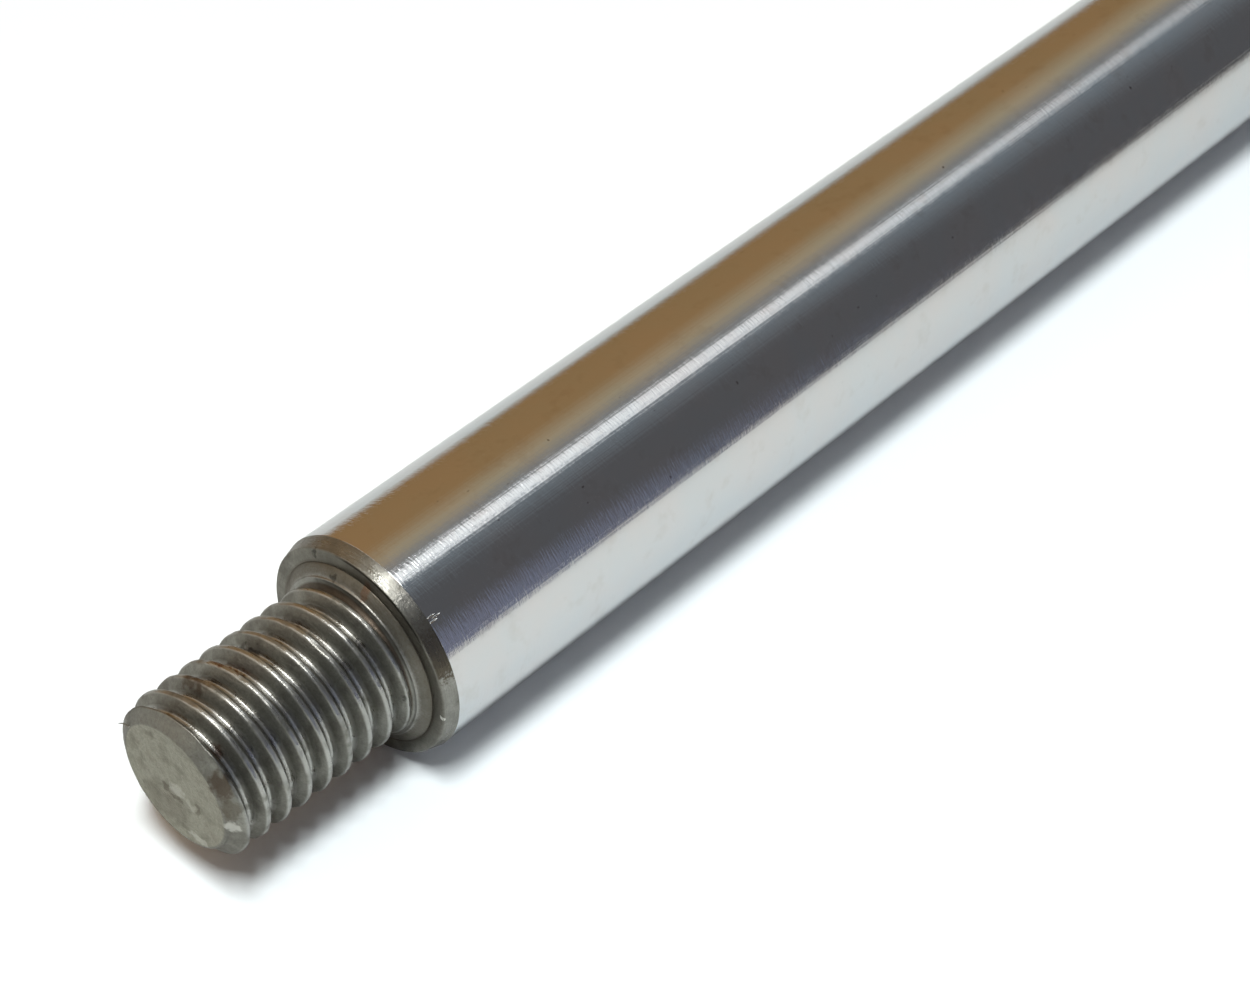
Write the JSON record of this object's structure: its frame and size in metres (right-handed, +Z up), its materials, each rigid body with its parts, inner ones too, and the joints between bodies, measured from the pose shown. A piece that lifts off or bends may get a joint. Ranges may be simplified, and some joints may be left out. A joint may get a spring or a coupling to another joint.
{
  "type": "stud-ended rod",
  "caption": "Hard-chromed round steel rod with a shoulder and a coarse-threaded stud turned on one end; the far end is faced plain.",
  "frame": {"origin": "centre of the stud's end face, on the rod's axis", "axes": "+X along the rod's axis from the stud's end face to the plain far end, +Z up"},
  "size_m": [0.16, 0.014, 0.014],
  "materials": {
    "chrome": "hard chrome, ground and polished to a mirror, with fine marks round the rod",
    "turned_steel": "bare turned steel with tool marks, brown stains and light rust in the thread"
  },
  "bodies": {
    "root": {"stud_ended_rod": "chrome"}
  },
  "joints": []
}
